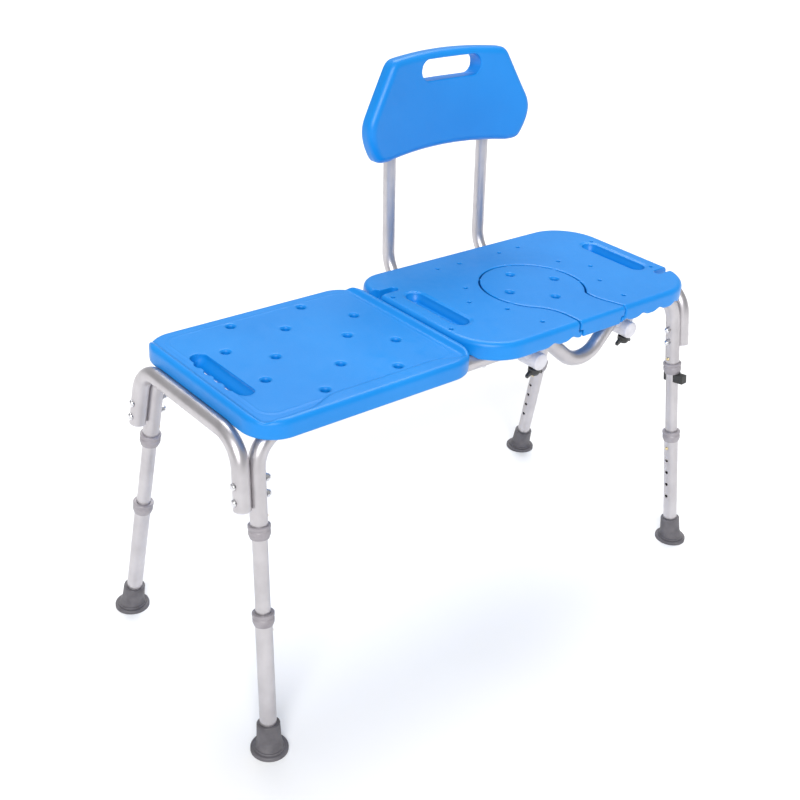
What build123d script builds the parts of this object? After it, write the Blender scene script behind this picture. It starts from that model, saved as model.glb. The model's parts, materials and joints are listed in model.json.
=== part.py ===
from build123d import *
from math import sqrt
import os

# Bath transfer bench, millimetres. +X runs along the bench to the end beyond the tub wall, -Y is the
# side that the sitter faces, +Z is up. The origin is on the floor, midway between the outermost points.

# ---------------------------------------------------------------- driving dimensions
# frame and legs
LEG_MID_Y = -16.65           # the legs stand about this line, because the backrest reaches back
RAIL_Z = 494.4               # centre line of the long rails
RAIL_Y = 128.6               # long rails, each side of LEG_MID_Y
FOOT_X = 471.0               # centre of each foot on the floor
FOOT_Y = 207.6
LEG_TOP_X = 446.0            # leg centre line at rail height
TUBE_R = 12.7
TUBE_WALL = 1.5
BEND_R = 50.0
END_OFFSET = 25.6            # from a rail's leg to the end frame's leg beside it
SPLAY_Y = (FOOT_Y - RAIL_Y) / RAIL_Z
SPLAY_X = (FOOT_X - LEG_TOP_X) / RAIL_Z
FRAME_LEG_BOTTOM = 356.0     # heights from here down are measured along the leg from the floor
END_LEG_BOTTOM = 400.0
BOLT_HEIGHTS = (412.0, 436.0)
BOLT_R = 3.0
BOLT_HEAD = (5.6, 3.6)       # radius and height
NUT_HEX_R = 5.8
NUT_DOME = (4.8, 4.2)
NUT_HEX_H = 4.6

# telescopic legs
INNER_R = 11.12
INNER_WALL = 1.2
INNER_BOTTOM = 172.0
INNER_TOP = 402.0
LOWER_BORE = 11.2
LOWER_BOTTOM = 9.0
LOWER_TOP = 221.0
HOLE_PITCH = 25.4
HOLE_COUNT = 5
HEIGHT_BUTTON = 197.4
FRAME_BUTTON = 379.0
BUTTON_R = 3.2
BUTTON_HOLE_R = 3.28
BUTTON_PROUD = 2.2
BUTTON_FLANGE = (4.4, 1.2)   # radius and thickness
BUTTON_SEAT = 7.3            # inner face of the button's flange, from the leg's centre line
SPRING_STRIP = (7.0, 0.6)    # width and thickness of the leaf spring
SPRING_REACH = 30.0
UPPER_COLLAR = (349.0, 369.5)
LOWER_COLLAR = (211.0, 231.5)
COLLAR_R = 16.4
COLLAR_WAIST_R = 15.2
FOOT_R = 28.5
FOOT_FLANGE_H = 6.0
FOOT_STEP = (24.0, 9.0)      # radius and height of the step inside the flange's rim
FOOT_SLEEVE_Z = (18.0, 46.0)
FOOT_SLEEVE_R = (18.6, 17.4)
FOOT_TREAD_R = (10.0, 16.0, 22.0)
WASHER_H = 1.9

# spring clip below the collar of the front right leg
CLIP_Z = (334.0, 348.6)
CLIP_ARM = 4.2
CLIP_REACH = 8.0             # the arms end this far past the tube's middle
CLIP_BLOCK_X = (-6.6, 8.0)
CLIP_BLOCK_Y = (12.0, 28.0)

# dip of the front rail below the commode opening
DIP_X = 200.0
DIP_HALF = 88.0
DIP_BOTTOM_HALF = 23.0
DIP_DEPTH = 55.0
DIP_R = 58.0

# seat panels
PANEL_BOTTOM = 502.0
PANEL_TOP = 532.0
SEAT_MID_Y = LEG_MID_Y - 8.0
SEAT_DEPTH = 332.0
LEFT_X = (-466.0, -67.5)
RIGHT_X = (-62.0, 459.0)
CORNER_R = 52.0
WIDE_CORNER_R = 84.0
EDGE_R = 9.0
DRAIN_R = 6.4
DRAIN_RIM_R = 9.2
SMALL_DRAIN_R = 2.6
WALL = 3.2                   # blow-moulded skin
CAVITY_Z = (511.0, 524.0)
DISH_DEPTH = 4.0
RECESS_DEPTH = 17.0
RECESS_SIZE = (26.0, 134.0)
NOTCH_W = 15.0
NOTCH_REACH = 42.0
NOTCH_FLARE_R = 12.0

# commode opening and its insert
INSERT_X = 185.0
INSERT_Y = LEG_MID_Y - 26.0
INSERT_R = 91.0
INSERT_HOLE_CIRCLE = 54.0
NECK_X = (146.5, 257.0)
SEAM = 1.1                   # gap between the insert and the panel
LEDGE = 8.0                  # rebate that carries the insert
LEDGE_Z = 514.0

# cross tubes under the rails, which hold the backrest tubes
BACK_TUBE_X = (84.0, 304.0)
CROSS_Z = 468.6
CROSS_BORE = 11.4
CROSS_FRONT = LEG_MID_Y - 152.8
CROSS_REAR = LEG_MID_Y + 163.0
SOCKET_R = 14.5              # round mouldings that hang the cross tubes from the rails
SOCKET_CLOSED = 3.5          # end wall of a front socket
SOCKET_LEN = 26.0
EAR_W = 46.0
EAR_Z = (474.0, 489.4)
SOCKET_SCREW_X = 18.3
KNOB_Y = LEG_MID_Y - 143.0
KNOB_Z = (439.6, 453.7)
KNOB_R = (7.5, 10.5)         # at its lower end and under the socket
WING_HALF = 17.5
WING_THICK = 5.2
STUD_R = 4.0

# backrest
BACK_X = 0.5 * (BACK_TUBE_X[0] + BACK_TUBE_X[1])
BACK_TUBE_R = 11.1
BACK_TUBE_WALL = 1.3
BACK_RUN_FRONT = CROSS_FRONT + 0.8
BACK_LEAN = 0.07
BACK_TUBE_Y600 = LEG_MID_Y + 241.5
BACK_TUBE_TOP = 792.0
BACK_BEND_R = 62.0
BACK_THICK = 30.0
BACK_CURVE_R = 1000.0
BACK_FRONT_AHEAD = 35.0      # front face ahead of the tube centre line, at the tubes
BACK_RIM = (12.0, 8.0)       # rounding of the front and rear edges
BACK_SLOT = (136.0, 36.0)
BACK_SLOT_Z = 840.0
BACK_SCREW_Z = (722.0, 772.0)
PLUG_LEN = 12.0
PLUG_RIM = 2.0

# screws
SCREW_R = 2.2
SCREW_HEAD_R = 4.6
SCREW_HEAD_H = 3.0
SOCKET_SCREW_HEAD_R = 3.9
SCREW_BITE = 6.0             # how far a backrest screw goes into the panel
SCREW_TIP = 519.0            # panel screws come up through the rails to this height
PANEL_SCREW_X = (-385.0, -150.0, -20.0, 395.0)

SIDES = {"left": -1, "right": 1}
ENDS = {"front": -1, "rear": 1}


def save(part, name):
    """Labels a finished piece and writes it under its node name."""
    part.label = name
    export_step(part, f"parts/{name}.step")


def leg_plane(side, end):
    """Frame of one leg: origin on the floor, Z up the leg, X towards the middle of the bench."""
    foot = Vector(side * FOOT_X, LEG_MID_Y + end * FOOT_Y, 0)
    top = Vector(side * LEG_TOP_X, LEG_MID_Y + end * RAIL_Y, RAIL_Z)
    axis = (top - foot).normalized()
    inward = Vector(-side, 0, 0)
    inward = inward - axis * inward.dot(axis)
    return Plane(origin=foot, x_dir=inward, z_dir=axis)


LEGS = {
    f"{end}_{side}": leg_plane(SIDES[side], ENDS[end]) for end in ENDS for side in SIDES
}


def across(leg, height, offset=0.0):
    """Plane at a height up a leg, whose Z points inwards through the tube."""
    return Plane(origin=leg.from_local_coords((offset, 0, height)), x_dir=leg.y_dir, z_dir=leg.x_dir)


def rail_plane(end):
    """Leaning plane that holds one long rail and its two legs: X along the bench, Y up the lean."""
    return Plane(
        origin=(0, LEG_MID_Y + end * FOOT_Y, 0), x_dir=(1, 0, 0), z_dir=(0, -1, -end * SPLAY_Y)
    )


def end_plane(side):
    """Leaning plane that holds one end frame: X towards the rear, Y up the lean."""
    return Plane(
        origin=(side * (FOOT_X + END_OFFSET), LEG_MID_Y, 0),
        x_dir=(0, 1, 0),
        z_dir=(1, 0, side * SPLAY_X),
    )


def rail_points(bottom, dipped):
    """Corner points and bend radii of a long rail in its own leaning plane."""
    lean = sqrt(1 + SPLAY_Y**2)
    z_bottom = bottom / sqrt(1 + SPLAY_X**2 + SPLAY_Y**2)
    x_bottom = FOOT_X - SPLAY_X * z_bottom
    top = RAIL_Z * lean
    points = [(-x_bottom, z_bottom * lean), (-LEG_TOP_X, top)]
    radii = [BEND_R]
    if dipped:
        low = (RAIL_Z - DIP_DEPTH) * lean
        points += [
            (DIP_X - DIP_HALF, top),
            (DIP_X - DIP_BOTTOM_HALF, low),
            (DIP_X + DIP_BOTTOM_HALF, low),
            (DIP_X + DIP_HALF, top),
        ]
        radii += [DIP_R] * 4
    points += [(LEG_TOP_X, top), (x_bottom, z_bottom * lean)]
    return points, radii + [BEND_R]


def end_points(bottom):
    """Corner points of an end frame in its own leaning plane."""
    lean = sqrt(1 + SPLAY_X**2)
    z_bottom = bottom / sqrt(1 + SPLAY_X**2 + SPLAY_Y**2)
    y_bottom = FOOT_Y - SPLAY_Y * z_bottom
    top = RAIL_Z * lean
    return [(-y_bottom, z_bottom * lean), (-RAIL_Y, top), (RAIL_Y, top), (y_bottom, z_bottom * lean)]


def bent_tube(plane, points, radii, outer, inner=0.0):
    """A tube, or a rod when inner is 0, swept along straight runs joined by round bends."""
    with BuildPart() as tube:
        with BuildLine(plane) as route:
            FilletPolyline(*points, radius=radii)
        with BuildSketch(Plane(origin=route.line @ 0, z_dir=route.line % 0)):
            Circle(outer)
            if inner:
                Circle(inner, mode=Mode.SUBTRACT)
        sweep()
    return tube.part


# ---------------------------------------------------------------- frame tubes
def cut_leg_holes(side_names, end_names, offset):
    """Bolt holes through the tubes of the named legs, for the part being built."""
    for end in end_names:
        for side in side_names:
            leg = LEGS[f"{end}_{side}"]
            with Locations(*[across(leg, h, offset) for h in BOLT_HEIGHTS]):
                Cylinder(BOLT_R, 2 * TUBE_R + 6, mode=Mode.SUBTRACT)


def make_rail(end):
    points, radii = rail_points(FRAME_LEG_BOTTOM, dipped=end == "front")
    tube = bent_tube(rail_plane(ENDS[end]), points, radii, TUBE_R, TUBE_R - TUBE_WALL)
    with BuildPart() as rail:
        add(tube)
        cut_leg_holes(SIDES, [end], 0)
        for side in SIDES:
            with Locations(across(LEGS[f"{end}_{side}"], FRAME_BUTTON, TUBE_R)):
                Cylinder(BUTTON_HOLE_R, TUBE_R, mode=Mode.SUBTRACT)
        with Locations(*[(x, y, RAIL_Z - TUBE_R) for x, y in panel_screw_places() if y_end(y) == end]):
            Cylinder(SCREW_R, 4 * TUBE_R + 2, mode=Mode.SUBTRACT)
        with Locations(*[(x, y, EAR_Z[0]) for tube_x in BACK_TUBE_X
                         for x, y in socket_screw_places(tube_x, end)]):
            Cylinder(SCREW_R, 2 * (RAIL_Z - TUBE_R + 6 - EAR_Z[0]), mode=Mode.SUBTRACT)
    return rail.part


def make_end_frame(side):
    tube = bent_tube(
        end_plane(SIDES[side]), end_points(END_LEG_BOTTOM), [BEND_R] * 2, TUBE_R, TUBE_R - TUBE_WALL
    )
    with BuildPart() as frame:
        add(tube)
        cut_leg_holes([side], ENDS, -END_OFFSET)
    return frame.part


def make_end_plug(side, end):
    """Plug in the lower end of an end frame's leg."""
    leg = LEGS[f"{end}_{side}"]
    foot_of_tube = leg.from_local_coords((0, 0, END_LEG_BOTTOM)) + Vector(SIDES[side] * END_OFFSET, 0, 0)
    seat = Plane(origin=foot_of_tube, x_dir=leg.x_dir, z_dir=-leg.z_dir)
    with BuildPart() as plug:
        with BuildSketch(seat):
            Circle(TUBE_R)
        extrude(amount=2.0)
        fillet(plug.faces().sort_by(Axis(seat.origin, seat.z_dir))[-1].edges(), 1.2)
        with BuildSketch(seat):
            Circle(TUBE_R - TUBE_WALL - 0.05)
        extrude(amount=-6.0)
    return plug.part


def panel_screw_places():
    return [(x, LEG_MID_Y + end * RAIL_Y) for x in PANEL_SCREW_X for end in ENDS.values()]


def y_end(y):
    return "front" if y < LEG_MID_Y else "rear"


def rail_clearance():
    """Solid rods a little larger than the frame tubes, cut from what rests on the frame."""
    rods = []
    for end in ENDS:
        points, radii = rail_points(FRAME_LEG_BOTTOM, dipped=end == "front")
        rods.append(bent_tube(rail_plane(ENDS[end]), points, radii, TUBE_R + 0.15))
    for side in SIDES:
        points = end_points(END_LEG_BOTTOM)
        rods.append(bent_tube(end_plane(SIDES[side]), points, [BEND_R] * 2, TUBE_R + 0.3))
    return rods


# ---------------------------------------------------------------- legs
def make_inner_tube(leg):
    with BuildPart() as tube:
        with BuildSketch(leg.offset(INNER_BOTTOM)):
            Circle(INNER_R)
            Circle(INNER_R - INNER_WALL, mode=Mode.SUBTRACT)
        extrude(amount=INNER_TOP - INNER_BOTTOM)
        with Locations(across(leg, HEIGHT_BUTTON, INNER_R), across(leg, FRAME_BUTTON, INNER_R)):
            Cylinder(BUTTON_HOLE_R, INNER_R, mode=Mode.SUBTRACT)
    return tube.part


def make_lower_tube(leg):
    with BuildPart() as tube:
        with BuildSketch(leg.offset(LOWER_BOTTOM)):
            Circle(TUBE_R)
            Circle(LOWER_BORE, mode=Mode.SUBTRACT)
        extrude(amount=LOWER_TOP - LOWER_BOTTOM)
        with Locations(
            *[across(leg, HEIGHT_BUTTON - i * HOLE_PITCH, TUBE_R) for i in range(HOLE_COUNT)]
        ):
            Cylinder(BUTTON_HOLE_R, TUBE_R, mode=Mode.SUBTRACT)
    return tube.part


def collar_profile(z0, z1, rim_r, waist_r, small_r):
    """Half outline of a collar with a rolled rim, a waist and a tapered skirt, as (radius, height)."""
    height = z1 - z0
    return [
        (small_r, z0),
        (rim_r - 0.4, z0 + 0.3 * height),
        (rim_r - 0.4, z0 + 0.55 * height),
        (waist_r, z0 + 0.63 * height),
        (waist_r, z0 + 0.70 * height),
        (rim_r, z0 + 0.78 * height),
        (rim_r, z1 - 1.0),
        (rim_r - 1.0, z1),
    ]


def make_collar(leg, span, upper_bore, lower_bore, step_z):
    """Grey reducing collar: one bore above step_z and another below it."""
    z0, z1 = span
    profile = collar_profile(z0, z1, COLLAR_R, COLLAR_WAIST_R, max(lower_bore, 12.9) + 1.0)
    outline = [(lower_bore, z0)] + profile + [(upper_bore, z1), (upper_bore, step_z), (lower_bore, step_z)]
    with BuildPart() as collar:
        with BuildSketch(Plane(origin=leg.origin, x_dir=leg.x_dir, z_dir=-leg.y_dir)):
            with BuildLine():
                Polyline(*outline, close=True)
            make_face()
        revolve(axis=Axis(leg.origin, leg.z_dir))
    return collar.part


def make_foot(leg):
    """Flared rubber foot: a sleeve in line with the leg on a flange that lies flat on the floor."""
    floor_point = (leg.origin.X, leg.origin.Y)
    step_r, step_top = FOOT_STEP
    sleeve_bottom, sleeve_top = FOOT_SLEEVE_Z
    with BuildPart() as foot:
        with BuildSketch():
            with Locations(floor_point):
                Circle(FOOT_R)
        extrude(amount=FOOT_FLANGE_H)
        fillet(foot.edges().group_by(Axis.Z)[-1], 2.2)
        with BuildSketch(Plane.XY.offset(FOOT_FLANGE_H - 1)):
            with Locations(floor_point):
                Circle(step_r)
        extrude(amount=step_top - FOOT_FLANGE_H + 1)
        fillet(foot.edges().group_by(Axis.Z)[-1], 1.6)
        with BuildSketch(Plane.XY.offset(step_top - 1)):
            with Locations(floor_point):
                Circle(step_r - 2.2)
        with BuildSketch(leg.offset(sleeve_bottom)):
            Circle(FOOT_SLEEVE_R[0])
        loft()
        with BuildSketch(leg.offset(sleeve_bottom)):
            Circle(FOOT_SLEEVE_R[0])
        with BuildSketch(leg.offset(sleeve_top)):
            Circle(FOOT_SLEEVE_R[1])
        loft()
        fillet(foot.edges().group_by(Axis.Z)[-1], 1.6)
        with BuildSketch(leg.offset(LOWER_BOTTOM - WASHER_H - 0.1)):
            Circle(TUBE_R)
        extrude(amount=sleeve_top, mode=Mode.SUBTRACT)
        with BuildSketch():
            for r in FOOT_TREAD_R:
                with Locations(floor_point):
                    Circle(r + 1.2)
                    Circle(r - 1.2, mode=Mode.SUBTRACT)
        extrude(amount=1.4, mode=Mode.SUBTRACT)
    return foot.part


def make_foot_washer(leg):
    """Steel washer that keeps the tube's end from cutting through the rubber."""
    with BuildPart() as washer:
        with BuildSketch(leg.offset(LOWER_BOTTOM - WASHER_H - 0.1)):
            Circle(TUBE_R - 0.1)
        extrude(amount=WASHER_H)
    return washer.part


def make_button(leg, height, wall_r):
    """Domed snap button with a flange inside the inner tube, standing proud of the outer tube."""
    flange_r, flange_h = BUTTON_FLANGE
    with BuildPart() as button:
        with BuildSketch(across(leg, height, BUTTON_SEAT)):
            Circle(flange_r)
        extrude(amount=flange_h)
        with BuildSketch(across(leg, height, BUTTON_SEAT)):
            Circle(BUTTON_R)
        extrude(amount=wall_r + BUTTON_PROUD - BUTTON_SEAT)
        tip = button.faces().sort_by(Axis(leg.origin, leg.x_dir))[-1]
        fillet(tip.edges(), 1.9)
    return button.part


def make_button_spring(leg, height):
    """V-shaped leaf spring that pushes the button out against the far wall of the inner tube."""
    width, thick = SPRING_STRIP
    near_x, far_x = BUTTON_SEAT - 0.35, -6.5
    with BuildPart() as spring:
        with BuildSketch(Plane(origin=leg.origin, x_dir=leg.x_dir, z_dir=-leg.y_dir)):
            with BuildLine() as strip:
                FilletPolyline(
                    (near_x, height + 5.0),
                    (near_x, height - 5.0),
                    (0.0, height - SPRING_REACH),
                    (far_x, height - 4.0),
                    (far_x, height + 6.0),
                    radius=[3.0, 2.5, 3.0],
                )
                offset(amount=thick / 2)
            make_face(strip.edges())
        extrude(amount=width / 2, both=True)
    return spring.part


# ---------------------------------------------------------------- frame bolts
def make_frame_bolt(leg, height):
    """Domed bolt through the end frame's leg and the rail's leg; its head is on the outer side."""
    head_r, head_h = BOLT_HEAD
    head_x = -END_OFFSET - TUBE_R
    with BuildPart() as bolt:
        with BuildSketch(across(leg, height, head_x - head_h)):
            Circle(head_r)
        extrude(amount=head_h)
        tip = bolt.faces().sort_by(Axis(leg.origin, leg.x_dir))[0]
        fillet(tip.edges(), 3.0)
        with BuildSketch(across(leg, height, head_x)):
            Circle(BOLT_R - 0.02)
        extrude(amount=-head_x + TUBE_R + NUT_HEX_H)
    return bolt.part


def make_acorn_nut(leg, height):
    """Domed hexagon nut on the inner side, blind over the bolt's end."""
    dome_r, dome_h = NUT_DOME
    with BuildPart() as nut:
        with BuildSketch(across(leg, height, TUBE_R)):
            RegularPolygon(NUT_HEX_R, 6)
        extrude(amount=NUT_HEX_H)
        with BuildSketch(across(leg, height, TUBE_R + NUT_HEX_H)):
            Circle(dome_r)
        extrude(amount=dome_h)
        tip = nut.faces().sort_by(Axis(leg.origin, leg.x_dir))[-1]
        fillet(tip.edges(), 3.8)
        with BuildSketch(across(leg, height, TUBE_R)):
            Circle(BOLT_R)
        extrude(amount=NUT_HEX_H + 0.2, mode=Mode.SUBTRACT)
    return nut.part


def make_leg_clip(leg):
    """C-shaped spring clip round an extension tube, open towards the middle, with a block in front."""
    outer = INNER_R + CLIP_ARM
    block_x0, block_x1 = CLIP_BLOCK_X
    block_y0, block_y1 = CLIP_BLOCK_Y
    with BuildPart() as clip:
        with BuildSketch(leg.offset(CLIP_Z[0])):
            Circle(outer)
            with Locations(((block_x0 + block_x1) / 2, (block_y0 + block_y1) / 2)):
                RectangleRounded(block_x1 - block_x0, block_y1 - block_y0, 1.5)
            Circle(INNER_R + 0.02, mode=Mode.SUBTRACT)
            with Locations((CLIP_REACH, 0)):
                Rectangle(outer, 2 * outer, align=(Align.MIN, Align.CENTER), mode=Mode.SUBTRACT)
        extrude(amount=CLIP_Z[1] - CLIP_Z[0])
    return clip.part


# ---------------------------------------------------------------- seat panels
def panel_outline(x0, x1, radii):
    """Rounded rectangle; the radii are the front left, front right, rear right and rear left ones."""
    y0 = SEAT_MID_Y - SEAT_DEPTH / 2
    y1 = SEAT_MID_Y + SEAT_DEPTH / 2
    r_fl, r_fr, r_rr, r_rl = radii
    with BuildLine() as outline:
        front = Line((x0 + r_fl, y0), (x1 - r_fr, y0))
        a = RadiusArc(front @ 1, (x1, y0 + r_fr), -r_fr)
        right = Line(a @ 1, (x1, y1 - r_rr))
        b = RadiusArc(right @ 1, (x1 - r_rr, y1), -r_rr)
        rear = Line(b @ 1, (x0 + r_rl, y1))
        c = RadiusArc(rear @ 1, (x0, y1 - r_rl), -r_rl)
        left = Line(c @ 1, (x0, y0 + r_fl))
        RadiusArc(left @ 1, front @ 0, -r_fl)
    make_face(outline.edges())


def panel_blank(x0, x1, radii):
    """Panel body with rounded top and bottom edges."""
    with BuildPart() as blank:
        with BuildSketch(Plane.XY.offset(PANEL_BOTTOM)):
            panel_outline(x0, x1, radii)
        extrude(amount=PANEL_TOP - PANEL_BOTTOM)
        fillet(blank.edges().group_by(Axis.Z)[-1], EDGE_R)
        fillet(blank.edges().group_by(Axis.Z)[0], 4.0)
    return blank.part


def panel_cavity(x0, x1, radii, posts, walls=()):
    """Closed air space inside a blow-moulded panel; posts are (x, y, radius) left solid."""
    margin = WALL + 6
    y_keep = SEAT_DEPTH / 2 - margin
    with BuildPart() as cavity:
        with BuildSketch(Plane.XY.offset(CAVITY_Z[0])):
            with Locations(((x0 + x1) / 2, SEAT_MID_Y)):
                RectangleRounded(x1 - x0 - 2 * margin, 2 * y_keep, max(radii) - margin)
            for x, y, r in posts:
                with Locations((x, y)):
                    Circle(r, mode=Mode.SUBTRACT)
            for x, y, w, d in walls:
                with Locations((x, y)):
                    Rectangle(w, d, mode=Mode.SUBTRACT)
        extrude(amount=CAVITY_Z[1] - CAVITY_Z[0])
    return cavity.part


# staggered drain holes of the left panel, as half of a symmetric pattern about its middle
LEFT_HOLES_MID = (-257.5, LEG_MID_Y)
LEFT_HOLES = (
    [(sx * 119.5, sy * 52.0) for sx in (-1, 1) for sy in (-1, 1)]
    + [(sx * 66.5, sy * 121.5) for sx in (-1, 1) for sy in (-1, 0, 1)]
    + [(0.0, sy * 70.0) for sy in (-1, 1)]
)
GRIP_SLOT_X = -419.5
GRIP_SLOT = (27.0, 146.0)


def left_hole_places():
    return [(LEFT_HOLES_MID[0] + x, LEFT_HOLES_MID[1] + y) for x, y in LEFT_HOLES]


def make_left_panel(rods):
    radii = (CORNER_R,) * 4
    posts = [(x, y, DRAIN_RIM_R + WALL) for x, y in left_hole_places()]
    posts += [(x, y, SCREW_R + WALL) for x, y in panel_screw_places() if x < LEFT_X[1]]
    walls = [(GRIP_SLOT_X, SEAT_MID_Y + 4, GRIP_SLOT[0] + 10 + 2 * WALL, GRIP_SLOT[1] + 2 * WALL)]
    blank = panel_blank(*LEFT_X, radii)
    cavity = panel_cavity(*LEFT_X, radii, posts, walls)
    with BuildPart() as panel:
        add(blank)
        with BuildSketch(Plane.XY.offset(PANEL_TOP)):
            with Locations(((LEFT_X[0] + LEFT_X[1]) / 2 + 2, SEAT_MID_Y + 5)):
                RectangleRounded(LEFT_X[1] - LEFT_X[0] - 48, SEAT_DEPTH - 48, CORNER_R - 22)
        extrude(amount=-DISH_DEPTH, taper=50, mode=Mode.SUBTRACT)
        with Locations(*[(x, y, PANEL_TOP - DISH_DEPTH) for x, y in left_hole_places()]):
            CounterSinkHole(DRAIN_R, DRAIN_RIM_R, depth=40)
        with BuildSketch(Plane.XY.offset(PANEL_TOP)):
            with Locations((GRIP_SLOT_X, SEAT_MID_Y + 4)):
                SlotOverall(GRIP_SLOT[1], GRIP_SLOT[0], rotation=90)
            for i in range(4):
                with Locations((GRIP_SLOT_X - GRIP_SLOT[0] / 2 + 8, SEAT_MID_Y + 4 + (i - 1.5) * 27.0)):
                    Circle(13.0)
        extrude(amount=PANEL_BOTTOM - PANEL_TOP, mode=Mode.SUBTRACT)
        for rod in rods:
            add(rod, mode=Mode.SUBTRACT)
        with Locations(*[(x, y, SCREW_TIP) for x, y in panel_screw_places() if x < LEFT_X[1]]):
            Cylinder(SCREW_R, 60, align=(Align.CENTER, Align.CENTER, Align.MAX), mode=Mode.SUBTRACT)
        add(cavity, mode=Mode.SUBTRACT)
    return panel.part


# small drain holes of the right panel
RIGHT_HOLES_X = 191.5
RIGHT_HOLES = (
    [(sx * 98.0, 114.0) for sx in (-1, 1)]
    + [(sx * 48.5, 112.0) for sx in (-1, 1)]
    + [(sx * 113.0, 26.0) for sx in (-1, 1)]
    + [(sx * 147.0, -20.0) for sx in (-1, 1)]
    + [(sx * 112.0, -73.0) for sx in (-1, 1)]
    + [(sx * 98.0, -139.0) for sx in (-1, 1)]
    + [(sx * 241.0, y) for sx in (-1, 1) for y in (62.0, -80.0)]
)
RIGHT_MID_X = (RIGHT_X[0] + RIGHT_X[1]) / 2
RECESS_X = 214.0             # hand recesses, each side of the right panel's middle
NOTCH_Y = 95.0               # hose notches, half a turn apart about the right panel's middle


def right_hole_places():
    return [(RIGHT_HOLES_X + x, LEG_MID_Y + y) for x, y in RIGHT_HOLES]


def keyhole(gap):
    """Round commode opening whose neck runs out through the front edge, shrunk all round by gap."""
    y_front = SEAT_MID_Y - SEAT_DEPTH / 2 - 20
    left_x = NECK_X[0] + gap
    right_x = NECK_X[1] - gap
    waist_x = right_x - 15.0
    with Locations((INSERT_X, INSERT_Y)):
        Circle(INSERT_R - gap)
    with BuildLine() as outline:
        start = (INSERT_X - 66.0 + gap, INSERT_Y - 61.0)
        shoulder = (left_x, INSERT_Y - 118.0)
        Spline(start, shoulder, tangents=[(0.70, -0.72), (0.02, -1.0)])
        Polyline(shoulder, (left_x, y_front), (right_x + 4, y_front), (right_x, INSERT_Y - 140.0))
        waist = (waist_x, INSERT_Y - 84.0)
        Spline((right_x, INSERT_Y - 140.0), waist, tangents=[(-0.25, 1.0), (0.0, 1.0)])
        end = (INSERT_X + 76.0 - gap, INSERT_Y - 44.0)
        Spline(waist, end, tangents=[(0.0, 1.0), (0.62, 0.78)])
        Polyline(end, (INSERT_X, INSERT_Y), start)
    make_face(outline.edges())


def make_right_panel(rods):
    radii = (WIDE_CORNER_R, WIDE_CORNER_R, WIDE_CORNER_R, CORNER_R)
    blank = panel_blank(*RIGHT_X, radii)
    posts = [(x, y, SMALL_DRAIN_R + WALL) for x, y in right_hole_places()]
    posts += [(x, y, SCREW_R + WALL) for x, y in panel_screw_places() if x > RIGHT_X[0]]
    posts += [(INSERT_X, INSERT_Y, INSERT_R + WALL)]
    neck_mid = 0.5 * (NECK_X[0] + NECK_X[1])
    neck_w = NECK_X[1] - NECK_X[0]
    walls = [(neck_mid, INSERT_Y - 110, neck_w + 30 + 2 * WALL, 220)]
    walls += [
        (RIGHT_MID_X + s * RECESS_X, SEAT_MID_Y, RECESS_SIZE[0] + 2 * WALL, RECESS_SIZE[1] + 2 * WALL)
        for s in (-1, 1)
    ]
    walls += [
        (RIGHT_X[(s + 1) // 2] - s * 20, SEAT_MID_Y - s * (NOTCH_Y + 6), NOTCH_REACH + 20, NOTCH_W + 24)
        for s in (-1, 1)
    ]
    cavity = panel_cavity(*RIGHT_X, radii, posts, walls)
    with BuildPart() as panel:
        add(blank)
        with Locations(*[(x, y, PANEL_TOP) for x, y in right_hole_places()]):
            Hole(SMALL_DRAIN_R, depth=60)
        with BuildSketch(Plane.XY.offset(PANEL_TOP)):
            for s in (-1, 1):
                with Locations((RIGHT_MID_X + s * RECESS_X, SEAT_MID_Y)):
                    SlotOverall(RECESS_SIZE[1], RECESS_SIZE[0], rotation=90)
        extrude(amount=-RECESS_DEPTH, taper=8, mode=Mode.SUBTRACT)
        with BuildSketch(Plane.XY.offset(PANEL_TOP)):
            for s in (-1, 1):
                x_edge = RIGHT_X[(s + 1) // 2]
                x_end = x_edge - s * (NOTCH_REACH - NOTCH_W / 2)
                with Locations(((x_edge + s * 10 + x_end) / 2, SEAT_MID_Y - s * NOTCH_Y)):
                    Rectangle(abs(x_edge + s * 10 - x_end), NOTCH_W)
                with Locations((x_end, SEAT_MID_Y - s * NOTCH_Y)):
                    Circle(NOTCH_W / 2)
                with Locations((x_edge + s * 2, SEAT_MID_Y - s * (NOTCH_Y + NOTCH_W / 2))):
                    Circle(NOTCH_FLARE_R)
        extrude(amount=PANEL_BOTTOM - PANEL_TOP, mode=Mode.SUBTRACT)
        with BuildSketch(Plane.XY.offset(LEDGE_Z)):
            keyhole(0.0)
        extrude(amount=PANEL_TOP - LEDGE_Z + 1, mode=Mode.SUBTRACT)
        with BuildSketch(Plane.XY.offset(PANEL_BOTTOM - 1)):
            keyhole(LEDGE)
        extrude(amount=PANEL_TOP - PANEL_BOTTOM, mode=Mode.SUBTRACT)
        for rod in rods:
            add(rod, mode=Mode.SUBTRACT)
        with Locations(*[(x, y, SCREW_TIP) for x, y in panel_screw_places() if x > RIGHT_X[0]]):
            Cylinder(SCREW_R, 60, align=(Align.CENTER, Align.CENTER, Align.MAX), mode=Mode.SUBTRACT)
        add(cavity, mode=Mode.SUBTRACT)
    return panel.part


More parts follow.
